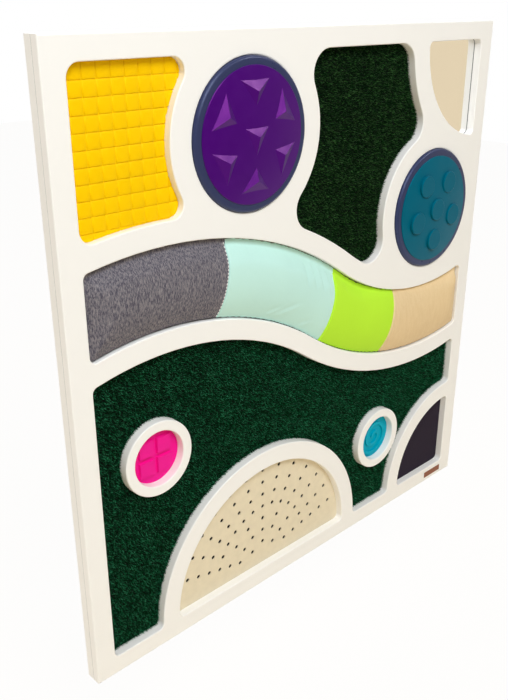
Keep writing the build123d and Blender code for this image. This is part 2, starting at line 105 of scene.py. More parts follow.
class Graph:
    """Node tree of a material or of the surroundings."""

    # Sockets of the Mix node that blend colours
    MIX_SHARE = 0
    MIX_FIRST = 6
    MIX_SECOND = 7
    MIX_RESULT = 2

    def __init__(self, holder: bpy.types.Material | bpy.types.World) -> None:
        """Starts an empty tree.

        Args:
            holder: The material or the world that the tree belongs to.
        """
        holder.use_nodes = True
        self.tree = holder.node_tree
        self.tree.nodes.clear()

    def add(self, kind: str, inputs: dict[Any, Any] | None = None, **settings: Any) -> bpy.types.Node:
        """Adds a node.

        Args:
            kind: Node type without its prefix.
            inputs: Constants, or sockets to link, by the input's name or number.
            settings: Properties of the node.

        Returns:
            The new node.
        """
        node = self.tree.nodes.new("ShaderNode" + kind)
        for name, value in settings.items():
            setattr(node, name, value)
        for name, value in (inputs or {}).items():
            if isinstance(value, bpy.types.NodeSocket):
                self.tree.links.new(value, node.inputs[name])
            else:
                node.inputs[name].default_value = value
        return node

    def place(self, stretch: Triple, turn: Triple) -> bpy.types.NodeSocket:
        """Object coordinates, turned and then stretched.

        Args:
            stretch: Scale along each axis.
            turn: Angle about each axis, in degrees.

        Returns:
            The coordinates' socket.
        """
        coordinates = self.add("TexCoord").outputs["Object"]
        angles = [math.radians(angle) for angle in turn]
        turned = self.add("Mapping", {"Vector": coordinates, "Rotation": angles}).outputs[0]
        return self.add("Mapping", {"Vector": turned, "Scale": stretch}).outputs[0]

    def noise(
        self, scale: float, detail: float = 2.0, stretch: Triple = (1, 1, 1), turn: Triple = (0, 0, 0)
    ) -> bpy.types.NodeSocket:
        """Noise in the object's own space.

        Args:
            scale: Features per metre.
            detail: Number of finer layers.
            stretch: Scale along each axis.
            turn: Angle about each axis, in degrees.

        Returns:
            The noise's socket, about 0 to 1.
        """
        where = self.place(stretch, turn)
        return self.add("TexNoise", {"Vector": where, "Scale": scale, "Detail": detail}).outputs[0]

    def spread(
        self, share: bpy.types.NodeSocket, low: float, high: float, start: float = 0.3, end: float = 0.7
    ) -> bpy.types.NodeSocket:
        """Maps a share between two limits to a range of values.

        Args:
            share: The share's socket.
            low: Value at the lower limit.
            high: Value at the upper limit.
            start: Lower limit of the share.
            end: Upper limit of the share.

        Returns:
            The value's socket.
        """
        limits = {"Value": share, "From Min": start, "From Max": end, "To Min": low, "To Max": high}
        return self.add("MapRange", limits).outputs[0]

    def combine(self, first: Any, second: Any, operation: str = "ADD") -> bpy.types.NodeSocket:
        """Joins two values by an operation of the Math node."""
        return self.add("Math", {0: first, 1: second}, operation=operation).outputs[0]

    def blend(self, share: Any, first: Any, second: Any) -> bpy.types.NodeSocket:
        """Colour between two others, at a share of the way."""
        inputs = {self.MIX_SHARE: share, self.MIX_FIRST: first, self.MIX_SECOND: second}
        return self.add("Mix", inputs, data_type="RGBA").outputs[self.MIX_RESULT]

    def drift(self, share: Any, colour: Colour, low: float, high: float) -> bpy.types.NodeSocket:
        """Colour that drifts between two shares of its brightness."""
        return self.blend(share, toned(colour, low), toned(colour, high))

    def bump(
        self,
        height: bpy.types.NodeSocket,
        strength: float,
        distance: float,
        ground: bpy.types.NodeSocket | None = None,
    ) -> bpy.types.NodeSocket:
        """Normal of a relief.

        Args:
            height: The relief's socket.
            strength: How much of it shows.
            distance: Its depth in metres.
            ground: Normal of a coarser relief that it lies on.

        Returns:
            The normal's socket.
        """
        inputs = {"Height": height, "Strength": strength, "Distance": distance}
        if ground is not None:
            inputs["Normal"] = ground
        return self.add("Bump", inputs).outputs[0]

    def surface(self, inputs: dict[str, Any]) -> None:
        """Ends the tree in a principled surface with these inputs."""
        shader = self.add("BsdfPrincipled", inputs)
        self.add("OutputMaterial", {"Surface": shader.outputs[0]})


# Finishes
@dataclass(frozen=True)
class Finish:
    """A named finish, made once and then shared."""

    name: str

    def material(self) -> bpy.types.Material:
        """The finish's material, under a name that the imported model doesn't use.

        Returns:
            The material, made at the first call.
        """
        title = f"{self.name}_finish"
        made = bpy.data.materials.get(title)
        if made is None:
            made = bpy.data.materials.new(title)
            self.lay(Graph(made))
        return made

    def lay(self, graph: Graph) -> None:
        """Builds the finish in a material's empty tree."""
        raise NotImplementedError


@dataclass(frozen=True)
class Lacquer(Finish):
    """Sprayed satin lacquer with faint orange peel."""

    colour: Colour = swatch(249, 248, 246)
    gloss_range: tuple[float, float] = (0.34, 0.46)

    def lay(self, graph: Graph) -> None:
        """Builds the finish.

        Args:
            graph: The material's empty tree.
        """
        cloud = graph.noise(scale=4.0, detail=3.0)
        peel = graph.noise(scale=420.0, detail=1.0)
        graph.surface({
            "Base Color": graph.drift(cloud, self.colour, low=0.985, high=1.0),
            "Roughness": graph.spread(graph.noise(scale=22.0), *self.gloss_range),
            "Specular IOR Level": 0.3,
            "Normal": graph.bump(peel, strength=0.05, distance=0.0004),
        })


@dataclass(frozen=True)
class Rubber(Finish):
    """Moulded rubber with a fine matt grain, whose gloss takes on its colour."""

    colour: Colour = (0.5, 0.5, 0.5, 1.0)
    shine: Colour = (1.0, 1.0, 1.0, 1.0)
    gloss: float = 0.42
    level: float = 0.4
    grain: float = 900.0

    def lay(self, graph: Graph) -> None:
        """Builds the finish.

        Args:
            graph: The material's empty tree.
        """
        cloud = graph.noise(scale=30.0, detail=4.0)
        grain = graph.noise(self.grain, detail=2.0)
        graph.surface({
            "Base Color": graph.drift(cloud, self.colour, low=0.95, high=1.05),
            "Roughness": graph.spread(graph.noise(scale=60.0), low=self.gloss - 0.05, high=self.gloss + 0.07),
            "Specular IOR Level": self.level,
            "Specular Tint": self.shine,
            "Normal": graph.bump(grain, strength=0.12, distance=0.0003),
        })


@dataclass(frozen=True)
class Pile(Finish):
    """Turf blades with painted shade toward the root, darker patches at random, and a few pale ones among
    them.
    """

    # root is painted shade: each blade darkens toward it near its foot, and random patches darken toward it
    # too
    root: Colour = swatch(0, 20, 8)
    dark: Colour = swatch(0, 70, 34)
    pale: Colour = swatch(88, 206, 146)

    def lay(self, graph: Graph) -> None:
        """Builds the finish from the blades' own tone and height.

        Args:
            graph: The material's empty tree.
        """
        tone = graph.add("Attribute", attribute_name="blade_tone").outputs["Fac"]
        rise = graph.add("Attribute", attribute_name="blade_rise").outputs["Fac"]
        blade = graph.blend(tone, self.dark, self.pale)
        patch = graph.spread(graph.noise(scale=38.0, detail=4.0), low=0.0, high=0.35)
        graph.surface({
            # Painted shade: the blade's colour goes over to the root colour toward its foot
            "Base Color": graph.blend(patch, graph.blend(rise, self.root, blade), self.root),
            "Roughness": graph.spread(tone, low=0.7, high=0.5, start=0.0, end=1.0),
            "Specular IOR Level": 0.1,
            "Specular Tint": self.pale,
        })


@dataclass(frozen=True)
class Felt(Finish):
    """Dense pressed felt with flecks."""

    colour: Colour = swatch(40, 31, 46)
    fleck: Colour = swatch(80, 68, 86)

    def lay(self, graph: Graph) -> None:
        """Builds the finish.

        Args:
            graph: The material's empty tree.
        """
        fibres = graph.noise(scale=650.0, detail=4.0)
        flecks = graph.spread(graph.noise(scale=1500.0, detail=2.0), low=0.0, high=0.55, start=0.58, end=0.75)
        base = graph.drift(graph.spread(fibres, low=0.0, high=1.0), self.colour, low=0.7, high=1.25)
        graph.surface({
            "Base Color": graph.blend(flecks, base, self.fleck),
            "Roughness": graph.spread(fibres, low=0.85, high=0.98),
            "Specular IOR Level": 0.08,
            "Sheen Weight": 0.04,
            "Sheen Roughness": 0.5,
            "Normal": graph.bump(fibres, strength=0.5, distance=0.0006),
        })


@dataclass(frozen=True)
class Mirror(Finish):
    """Mirrored acrylic with a trace of haze."""

    colour: Colour = (0.93, 0.93, 0.92, 1.0)

    def lay(self, graph: Graph) -> None:
        """Builds the finish.

        Args:
            graph: The material's empty tree.
        """
        haze = graph.noise(scale=9.0, detail=3.0)
        graph.surface({
            "Base Color": graph.drift(haze, self.colour, low=0.97, high=1.0),
            "Metallic": 1.0,
            "Roughness": graph.spread(haze, low=0.015, high=0.04),
        })


@dataclass(frozen=True)
class Sheet(Finish):
    """Pressed fibre sheet, softly mottled."""

    colour: Colour = swatch(231, 219, 192)

    def lay(self, graph: Graph) -> None:
        """Builds the finish.

        Args:
            graph: The material's empty tree.
        """
        mottle = graph.spread(graph.noise(scale=55.0, detail=5.0), low=0.0, high=1.0)
        fibre = graph.noise(scale=700.0, detail=3.0)
        graph.surface({
            "Base Color": graph.drift(mottle, self.colour, low=0.96, high=1.03),
            "Roughness": graph.spread(fibre, low=0.6, high=0.75),
            "Specular IOR Level": 0.3,
            "Normal": graph.bump(fibre, strength=0.18, distance=0.0003),
        })


class Weave(Enum):
    """How a cloth is woven: relief, threads and slubs per metre, how much the slubs show, and gloss."""

    SLUBBED = (0.5, 1500.0, 620.0, 0.7, 0.8)
    FINE = (0.16, 1900.0, 300.0, 0.1, 0.72)
    SATIN = (0.22, 1700.0, 150.0, 0.3, 0.5)

    def __init__(self, relief: float, threads: float, slubs: float, slub_share: float, gloss: float) -> None:
        """Keeps the values of a weave.

        Args:
            relief: How much the threads stand out.
            threads: Threads per metre.
            slubs: Slubs per metre.
            slub_share: How much the slubs show.
            gloss: Roughness of the smoothest threads.
        """
        self.relief = relief
        self.threads = threads
        self.slubs = slubs
        self.slub_share = slub_share
        self.gloss = gloss


@dataclass(frozen=True)
class Cloth(Finish):
    """Woven cover, with slubs along its threads and shallow pull lines."""

    colour: Colour = (0.5, 0.5, 0.5, 1.0)
    slub_colour: Colour = (0.6, 0.6, 0.6, 1.0)
    weave: Weave = Weave.FINE
    pull_lines: float = 0.2
    sheen: float = 0.05

    def lay(self, graph: Graph) -> None:
        """Builds the finish.

        Args:
            graph: The material's empty tree.
        """
        gloss = self.weave.gloss
        warp = graph.noise(self.weave.threads, detail=1.0, stretch=(1.0, 0.4, 0.09))
        weft = graph.noise(self.weave.threads, detail=1.0, stretch=(0.09, 0.4, 1.0))
        threads = graph.combine(warp, weft)
        streaks = graph.noise(self.weave.slubs, detail=2.0, stretch=(1.0, 0.5, 0.24))
        specks = graph.noise(2.0 * self.weave.slubs, detail=1.0)
        slubs = graph.combine(streaks, graph.combine(specks, 0.6, "MULTIPLY"))
        slub_share = graph.spread(slubs, low=0.0, high=self.weave.slub_share, start=0.66, end=0.98)
        base = graph.drift(graph.noise(scale=7.0, detail=3.0), self.colour, low=0.93, high=1.05)
        pull = graph.noise(scale=26.0, detail=1.5, stretch=(1.0, 1.0, 0.16), turn=(0.0, 42.0, 0.0))
        folds = graph.bump(pull, self.pull_lines, distance=0.004)
        graph.surface({
            "Base Color": graph.blend(slub_share, base, self.slub_colour),
            "Roughness": graph.spread(threads, low=gloss, high=gloss + 0.15, start=0.7, end=1.3),
            "Specular IOR Level": 0.2,
            "Sheen Weight": self.sheen,
            "Sheen Roughness": 0.4,
            "Normal": graph.bump(threads, self.weave.relief, distance=0.0004, ground=folds),
        })


@dataclass(frozen=True)
class Metal(Finish):
    """Brushed or plated metal."""

    colour: Colour = (0.62, 0.62, 0.60, 1.0)
    brush: Triple = (1.0, 1.0, 0.06)
    gloss: float = 0.34
    metallic: float = 1.0

    def lay(self, graph: Graph) -> None:
        """Builds the finish.

        Args:
            graph: The material's empty tree.
        """
        lines = graph.noise(scale=1400.0, detail=2.0, stretch=self.brush)
        graph.surface({
            "Base Color": graph.drift(lines, self.colour, low=0.8, high=1.1),
            "Metallic": self.metallic,
            "Roughness": graph.spread(lines, low=self.gloss - 0.06, high=self.gloss + 0.1),
            "Normal": graph.bump(lines, strength=0.08, distance=0.0002),
        })


@dataclass(frozen=True)
class StudioFloor(Finish):
    """White floor that shows a faint shadow and throws warm light back."""

    white_share: float = 0.95
    paint: Colour = swatch(246, 230, 202)

    def lay(self, graph: Graph) -> None:
        """Builds the finish.

        Args:
            graph: The material's empty tree.
        """
        paint = graph.add("BsdfDiffuse", {"Color": self.paint})
        glow = graph.add("Emission", {"Color": (1.0, 1.0, 1.0, 1.0), "Strength": 1.0})
        path = graph.add("LightPath")
        seen = graph.combine(path.outputs["Is Camera Ray"], path.outputs["Is Glossy Ray"], "MAXIMUM")
        seen = graph.combine(seen, path.outputs["Is Transmission Ray"], "MAXIMUM")
        share = graph.combine(seen, self.white_share, "MULTIPLY")
        mixed = graph.add("MixShader", {0: share, 1: paint.outputs[0], 2: glow.outputs[0]})
        graph.add("OutputMaterial", {"Surface": mixed.outputs[0]})


@dataclass(frozen=True)
class Glow(Finish):
    """Plain card that gives light."""

    colour: Colour = (1.0, 1.0, 1.0, 1.0)
    strength: float = 1.0

    def lay(self, graph: Graph) -> None:
        """Builds the finish in a material's empty tree."""
        glow = graph.add("Emission", {"Color": self.colour, "Strength": self.strength})
        graph.add("OutputMaterial", {"Surface": glow.outputs[0]})


WHITE_LACQUER = Lacquer("white_lacquer_satin")
STEEL = Metal("zinc_steel")


# Modelling by hand
def put(name: str, data: Any) -> bpy.types.Object:
    """New object of the scene.

    Args:
        name: Its name.
        data: Its mesh, lamp or camera.

    Returns:
        The object.
    """
    thing = bpy.data.objects.new(name, data)
    bpy.context.scene.collection.objects.link(thing)
    return thing


def deselect() -> None:
    """Leaves nothing selected."""
    for thing in bpy.context.selected_objects:
        thing.select_set(False)


def activate(piece: bpy.types.Object) -> None:
    """Selects one piece alone and makes it active.

    Args:
        piece: The piece.
    """
    deselect()
    piece.select_set(True)
    bpy.context.view_layer.objects.active = piece


@contextmanager
def editing(piece: bpy.types.Object) -> Iterator[None]:
    """Edit mode on one piece.

    Args:
        piece: The piece to edit.

    Returns:
        A context that ends back in object mode.
    """
    activate(piece)
    bpy.ops.object.mode_set(mode="EDIT")
    yield
    bpy.ops.object.mode_set(mode="OBJECT")


def begin(
    add: Callable[..., Any], name: str, scale: Triple = (1.0, 1.0, 1.0), **settings: Any
) -> bpy.types.Object:
    """Adds the primitive that a piece begins as, with its place in its mesh.

    Args:
        add: The primitive's operator.
        name: The piece's name.
        scale: Stretch along the primitive's own axes.
        settings: Size, place and turn, as the operator takes them.

    Returns:
        The new piece.
    """
    deselect()
    add(**settings)
    piece = bpy.context.object
    piece.name = name
    piece.scale = scale
    bpy.ops.object.transform_apply()
    return piece


def faces_out(face: bpy.types.MeshPolygon) -> bool:
    """Whether a face looks away from the wall."""
    return face.normal.dot(OUTWARDS) > SQUARE_ON


def faces_in(face: bpy.types.MeshPolygon) -> bool:
    """Whether a face looks at the wall."""
    return face.normal.dot(OUTWARDS) < -SQUARE_ON


def pick_faces(piece: bpy.types.Object, test: Callable[[bpy.types.MeshPolygon], bool]) -> None:
    """Selects the faces that pass a test, ready for edit mode.

    Args:
        piece: The piece.
        test: What a face has to pass.
    """
    with editing(piece):
        bpy.ops.mesh.select_mode(type="FACE")
        bpy.ops.mesh.select_all(action="DESELECT")
    for face in piece.data.polygons:
        face.select = test(face)


def extrude(x: float, y: float, z: float) -> None:
    """Extrudes what is selected in edit mode by this much along each axis."""
    bpy.ops.mesh.extrude_region_move(TRANSFORM_OT_translate={"value": (x, y, z)})


def leave_rim(piece: bpy.types.Object, width: float) -> None:
    """Cuts a flat piece down to its rim.

    Args:
        piece: The piece.
        width: Width of the rim.
    """
    with editing(piece):
        bpy.ops.mesh.select_all(action="SELECT")
        bpy.ops.mesh.inset(thickness=width, depth=0.0)
        bpy.ops.mesh.delete(type="FACE")


def thicken(piece: bpy.types.Object, depth: float) -> None:
    """Gives a flat piece its thickness and turns its faces outwards.

    Args:
        piece: The piece.
        depth: How far its other side lies along Y.
    """
    with editing(piece):
        bpy.ops.mesh.select_all(action="SELECT")
        extrude(0.0, depth, 0.0)
        bpy.ops.mesh.select_all(action="SELECT")
        bpy.ops.mesh.normals_make_consistent(inside=False)


def merged_copy(node: str, name: str) -> bpy.types.Object:
    """Copy of a CAD node as one joined mesh.

    Args:
        node: The CAD node.
        name: The new piece's name.

    Returns:
        The new piece.
    """
    piece = put(name, frame["nodes"][node].data.copy())
    with editing(piece):
        bpy.ops.mesh.customdata_custom_splitnormals_clear()
        bpy.ops.mesh.select_all(action="SELECT")
        bpy.ops.mesh.remove_doubles(threshold=HAIR)
    return piece


def apply_modifier(piece: bpy.types.Object, kind: str, **settings: Any) -> None:
    """Adds a modifier and applies it.

    Args:
        piece: The piece.
        kind: The modifier's type.
        settings: Properties of the modifier.
    """
    activate(piece)
    modifier = piece.modifiers.new(kind.lower(), kind)
    for name, value in settings.items():
        setattr(modifier, name, value)
    bpy.ops.object.modifier_apply(modifier=modifier.name)


def smooth(piece: bpy.types.Object, angle: float) -> None:
    """Shades a piece smooth except at edges sharper than an angle in degrees."""
    activate(piece)
    bpy.ops.object.shade_smooth_by_angle(angle=math.radians(angle))


def points_of(piece: bpy.types.Object) -> np.ndarray:
    """Points of a piece.

    Args:
        piece: The piece.

    Returns:
        One row per point.
    """
    flat = np.empty(len(piece.data.vertices) * 3)
    piece.data.vertices.foreach_get("co", flat)
    return flat.reshape(-1, 3)


def move_points(piece: bpy.types.Object, points: np.ndarray) -> None:
    """Puts the piece's points at new places."""
    piece.data.vertices.foreach_set("co", points.ravel())
    piece.data.update()


def tree_of(piece: bpy.types.Object) -> BVHTree:
    """Search tree of a piece's faces."""
    corners = [vertex.co.copy() for vertex in piece.data.vertices]
    return BVHTree.FromPolygons(corners, [list(face.vertices) for face in piece.data.polygons])


def met_from_front(ground: BVHTree, x: float, z: float) -> Vector | None:
    """Point where a line from before the panel meets the ground, if it does."""
    return ground.ray_cast(Vector((x, BEFORE_PANEL, z)), -OUTWARDS)[0]


def new_piece(name: str, points: np.ndarray, faces: np.ndarray) -> bpy.types.Object:
    """Piece from points and faces.

    Args:
        name: The piece's name.
        points: One row per point.
        faces: One row of point numbers per face.

    Returns:
        The new piece.
    """
    mesh = bpy.data.meshes.new(name)
    mesh.from_pydata(points.tolist(), [], faces.tolist())
    return put(name, mesh)


def take_apart(model: bpy.types.Object) -> tuple[np.ndarray, np.ndarray]:
    """Reads a model that was made to be copied, and removes it.

    Args:
        model: The model.

    Returns:
        Its points and its triangles.
    """
    with editing(model):
        bpy.ops.mesh.select_all(action="SELECT")
        bpy.ops.mesh.quads_convert_to_tris()
    points = points_of(model)
    faces = np.array([list(face.vertices) for face in model.data.polygons])
    bpy.data.objects.remove(model)
    return points, faces


def repeated(faces: np.ndarray, point_count: int, copies: int) -> np.ndarray:
    """Faces of several copies of a model, each with its own points."""
    shifts = np.arange(copies)[:, None, None] * point_count
    return (faces[None] + shifts).reshape(-1, faces.shape[1])


def settle(piece: bpy.types.Object, finish: Finish, slot: str, *nodes: str) -> None:
    """Dresses a new piece and lets it ride on the panel.

    Args:
        piece: The piece.
        finish: Its finish.
        slot: The record's material slot; not used.
        nodes: CAD nodes that it stands for.
    """
    piece.data.materials.clear()
    piece.data.materials.append(finish.material())
    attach(piece, BODY)
    if nodes:
        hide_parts(*nodes)
    LOG.info("%s: %d faces, %s", piece.name, len(piece.data.polygons), finish.name)


def dress(node: str, finish: Finish) -> None:
    """Gives a CAD node that is shown as it is its finish.

    Args:
        node: The CAD node.
        finish: Its finish.
    """
    shown = frame["nodes"][node]
    for holder in shown.material_slots:
        holder.material = finish.material()
    LOG.info("%s: shown as built, %s", node, finish.name)


# Sub-assemblies
@dataclass
class Boards:
    """The two lacquered boards and the loose rings on the turf."""

    nodes: tuple[str, ...] = ("front_board", "back_board", "left_ring", "right_ring")
    # A dark strip in the board joint: painted shade standing in for the shadow in that groove
    joint_shade: Sheet = Sheet("joint_filler", swatch(92, 94, 104))
    line_inset: float = 0.0004
    line_width: float = 0.004
    line_thickness: float = 0.0009

    def build(self) -> None:
        """Dresses the boards and lays the line between them."""
        for node in self.nodes:
            dress(node, WHITE_LACQUER)
        self.lay_joint_line()

    def lay_joint_line(self) -> None:
        """Lays a thin dark strip in the groove where the boards meet, as painted shade in that groove."""
        low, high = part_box("back_board")
        line = begin(
            bpy.ops.mesh.primitive_plane_add,
            "joint_line",
            (high.x - low.x - 2 * self.line_inset, high.z - low.z - 2 * self.line_inset, 1.0),
            size=1.0,
            location=((low.x + high.x) / 2, low.y - self.line_thickness / 2, (low.z + high.z) / 2),
            rotation=UPRIGHT,
        )
        leave_rim(line, self.line_width)
        thicken(line, self.line_thickness)
        settle(line, self.joint_shade, "white_lacquer")


@dataclass
class Insert:
    """An insert that is shown as the CAD made it."""

    node: str
    finish: Finish

    def build(self) -> None:
        """Dresses the insert."""
        dress(self.node, self.finish)


@dataclass
class ReliefDisc:
    """Large disc: a dark rubber base with a rounded rim, and a coloured face with its relief."""

    colour_name: str
    face: Rubber
    base: Rubber = Rubber("slate_rubber", swatch(50, 57, 92), swatch(190, 200, 230), gloss=0.32)
    rim_rounding: float = 0.0065
    rim_steps: int = 8
    sides: int = 160

    def build(self) -> None:
        """Models the base and dresses the face."""
        self.turn_base()
        dress(f"{self.colour_name}_disc_face", self.face)

    def turn_base(self) -> None:
        """Models the base with its rounded rim in the place of the CAD base."""
        node = f"{self.colour_name}_disc_base"
        low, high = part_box(node)
        base = begin(
            bpy.ops.mesh.primitive_cylinder_add,
            f"{node}_round",
            vertices=self.sides,
            radius=(high.x - low.x) / 2,
            depth=high.y - low.y,
            location=(low + high) / 2,
            rotation=UPRIGHT,
        )
        pick_faces(base, faces_out)
        with editing(base):
            bpy.ops.mesh.bevel(offset=self.rim_rounding, segments=self.rim_steps)
        smooth(base, angle=40.0)
        settle(base, self.base, "slate_rubber", node)


@dataclass
class TileMat:
    """Rubber mat of soft square tiles between narrow grooves."""

    rubber: Rubber = Rubber("yellow_rubber", swatch(252, 203, 0), swatch(255, 225, 120), gloss=0.5, level=0.2)
    tile: float = 0.0265
    first_groove: float = 0.008
    groove_floor: float = 0.0005
    wall_width: float = 0.0006
    wall_height: float = 0.0014
    shoulder_width: float = 0.0009
    shoulder_height: float = 0.0004
    crown_width: float = 0.006
    crown_height: float = 0.0003
    outline_reach: float = 0.004

    def build(self) -> None:
        """Presses the tiles out of a grid and trims it to the mat's outline."""
        low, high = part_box("tile_mat")
        start = low.x + self.first_groove - self.tile
        columns = math.ceil((high.x - start) / self.tile)
        rows = math.ceil((high.z - low.z) / self.tile)
        width = columns * self.tile
        height = rows * self.tile
        relief = self.wall_height + self.shoulder_height + self.crown_height
        mat = begin(
            bpy.ops.mesh.primitive_grid_add,
            "tile_mat_soft",
            (width, height, 1.0),
            x_subdivisions=columns,
            y_subdivisions=rows,
            size=1.0,
            location=(start + width / 2, low.y + relief, high.z - height / 2),
            rotation=UPRIGHT,
        )
        self.press(mat)
        thicken(mat, high.y - low.y)
        self.trim(mat, (low.y + high.y) / 2)
        smooth(mat, angle=75.0)
        settle(mat, self.rubber, "yellow_rubber", "tile_mat")

    def press(self, mat: bpy.types.Object) -> None:
        """Raises each cell of the grid into a tile with a wall, a shoulder and a crown.

        Args:
            mat: The grid.
        """
        steps = (
            (self.groove_floor, 0.0),
            (self.wall_width, self.wall_height),
            (self.shoulder_width, self.shoulder_height),
            (self.crown_width, self.crown_height),
        )
        with editing(mat):
            bpy.ops.mesh.select_mode(type="FACE")
            bpy.ops.mesh.select_all(action="SELECT")
            for thickness, depth in steps:
                bpy.ops.mesh.inset(thickness=thickness, depth=depth, use_individual=True)

    def trim(self, mat: bpy.types.Object, middle: float) -> None:
        """Cuts the grid to the outline of the CAD mat.

        Args:
            mat: The grid of tiles.
            middle: Level between the mat's back and its front.
        """
        outline = merged_copy("tile_mat", "tile_outline")
        points = points_of(outline)
        points[:, 1] += np.where(points[:, 1] < middle, -self.outline_reach, self.outline_reach)
        move_points(outline, points)
        apply_modifier(mat, "BOOLEAN", object=outline, operation="INTERSECT", solver="EXACT")
        bpy.data.objects.remove(outline)


@dataclass
class TurfBed:
    """Turf in its pocket: a dark backing mat and blades that stand on it."""

    node: str
    pile: Pile
    seed: int
    part_count: int
    spacing: float = 0.0021
    pile_height: float = 0.0062
    height_spread: float = 0.0009
    height_limits: tuple[float, float] = (0.004, 0.0085)
    root_cover: float = 0.0008
    blade_width: float = 0.0011
    tip_share: float = 0.45
    lean: float = 0.45
    lean_limit: float = 1.1
    bend_power: float = 1.5
    tone_power: float = 2.8
    backing: Felt = Felt("turf_backing", swatch(6, 16, 9), swatch(10, 26, 14))
    ground: BVHTree = field(init=False)
    root_level: float = field(init=False)

    def build(self) -> None:
        """Lowers the mat and plants the blades."""
        mat = merged_copy(self.node, f"{self.node}_mat")
        pick_faces(mat, faces_out)
        with editing(mat):
            bpy.ops.transform.translate(value=(0.0, self.pile_height - self.root_cover, 0.0))
        self.root_level = min(vertex.co.y for vertex in mat.data.vertices)
        settle(mat, self.backing, "turf_pile", self.node)
        self.ground = tree_of(frame["nodes"][self.node])
        for number, share in enumerate(np.array_split(self.planted(), self.part_count)):
            self.grow(f"{self.node}_pile_{number + 1}", share, self.seed + number)

    def covers(self, x: float, z: float) -> bool:
        """Whether the turf covers a point of the panel."""
        return met_from_front(self.ground, x, z) is not None

    def planted(self) -> np.ndarray:
        """Places of the blades' roots, on a jittered grid.

        Returns:
            One row of x and z per blade.
        """
        low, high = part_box(self.node)
        chance = np.random.default_rng(self.seed)
        across = np.arange(low.x, high.x, self.spacing)
        up = np.arange(low.z, high.z, self.spacing)
        grid = np.stack(np.meshgrid(across, up), axis=-1).reshape(-1, 2)
        grid += chance.uniform(-0.5, 0.5, grid.shape) * self.spacing
        return grid[[self.covers(x, z) for x, z in grid]]

    def blade(self) -> tuple[np.ndarray, np.ndarray]:
        """One blade, modelled on a plane: two points at the root, two below the tip and the tip.

        Returns:
            Its points, as share across, unused and share of the height, and its triangles.
        """
        middle = (0.0, 0.0, 0.5)
        model = begin(
            bpy.ops.mesh.primitive_plane_add, "blade_model", size=1.0, location=middle, rotation=UPRIGHT
        )
        with editing(model):
            bpy.ops.mesh.select_mode(type="VERT")
            bpy.ops.mesh.select_all(action="DESELECT")
        for vertex in model.data.vertices:
            vertex.select = vertex.co.z > middle[2]
        with editing(model):
            bpy.ops.transform.translate(value=(0.0, 0.0, -self.tip_share))
            extrude(0.0, 0.0, self.tip_share)
            bpy.ops.mesh.merge(type="CENTER")
        return take_apart(model)

    def grow(self, name: str, roots: np.ndarray, seed: int) -> None:
        """Plants one part of the blades.

        Args:
            name: The part's name.
            roots: One row of x and z per blade.
            seed: Start of the random numbers.
        """
        points, faces = self.blade()
        chance = np.random.default_rng(seed)
        count = len(roots)
        height = np.clip(chance.normal(self.pile_height, self.height_spread, count), *self.height_limits)
        facing = chance.uniform(0.0, math.tau, count)
        bearing = chance.uniform(0.0, math.tau, count)
        slant = np.abs(chance.normal(0.0, self.lean, count)).clip(0.0, self.lean_limit) * height
        away = np.stack([np.cos(bearing), np.sin(bearing)], axis=1) * slant[:, None]
        for number, (root, reach) in enumerate(zip(roots, away)):
            if not self.covers(*(root + reach)):
                away[number] = -reach if self.covers(*(root - reach)) else 0.0
        across = np.stack([np.cos(facing), np.sin(facing)], axis=1) * self.blade_width
        rise = points[:, 2]
        bend = rise**self.bend_power
        plan = roots[:, None] + points[None, :, :1] * across[:, None] + bend[None, :, None] * away[:, None]
        level = self.root_level - rise[None] * height[:, None]
        placed = np.stack([plan[..., 0], level, plan[..., 1]], axis=-1).reshape(-1, 3)
        piece = new_piece(name, placed, repeated(faces, len(points), count))
        tone = np.repeat(chance.random(count) ** self.tone_power, len(points))
        for label, values in (("blade_tone", tone), ("blade_rise", np.tile(rise, count))):
            piece.data.attributes.new(label, "FLOAT", "POINT").data.foreach_set("value", values)
        settle(piece, self.pile, "turf_pile", self.node)


@dataclass
class MirrorCorner:
    """The mirror sheet in the upper right corner, with a thin dark ring round its opening as painted shade
    under the board's lip.
    """

    finish: Mirror = Mirror("mirror_acrylic")
    # A dark ring round the mirror's opening: painted shade under the board's lip at the mirror's edge
    lip_shade: Felt = Felt("mirror_bead", swatch(44, 42, 52), swatch(58, 56, 66))
    hidden_lip: float = 0.006
    lip_shade_width: float = 0.0011
    lip_shade_height: float = 0.0004

    def build(self) -> None:
        """Dresses the mirror and runs the ring of painted shade round it."""
        dress("mirror_sheet", self.finish)
        shade_ring = merged_copy("mirror_sheet", "mirror_edging")
        pick_faces(shade_ring, lambda face: not faces_out(face))
        with editing(shade_ring):
            bpy.ops.mesh.delete(type="FACE")
            bpy.ops.mesh.select_all(action="SELECT")
            bpy.ops.mesh.dissolve_limited(angle_limit=FLAT_ANGLE)
            bpy.ops.mesh.select_all(action="SELECT")
            bpy.ops.mesh.inset(thickness=self.hidden_lip, depth=0.0)
            bpy.ops.mesh.select_all(action="INVERT")
            bpy.ops.mesh.delete(type="FACE")
        leave_rim(shade_ring, self.lip_shade_width)
        thicken(shade_ring, -self.lip_shade_height)
        settle(shade_ring, self.lip_shade, "mirror_acrylic")


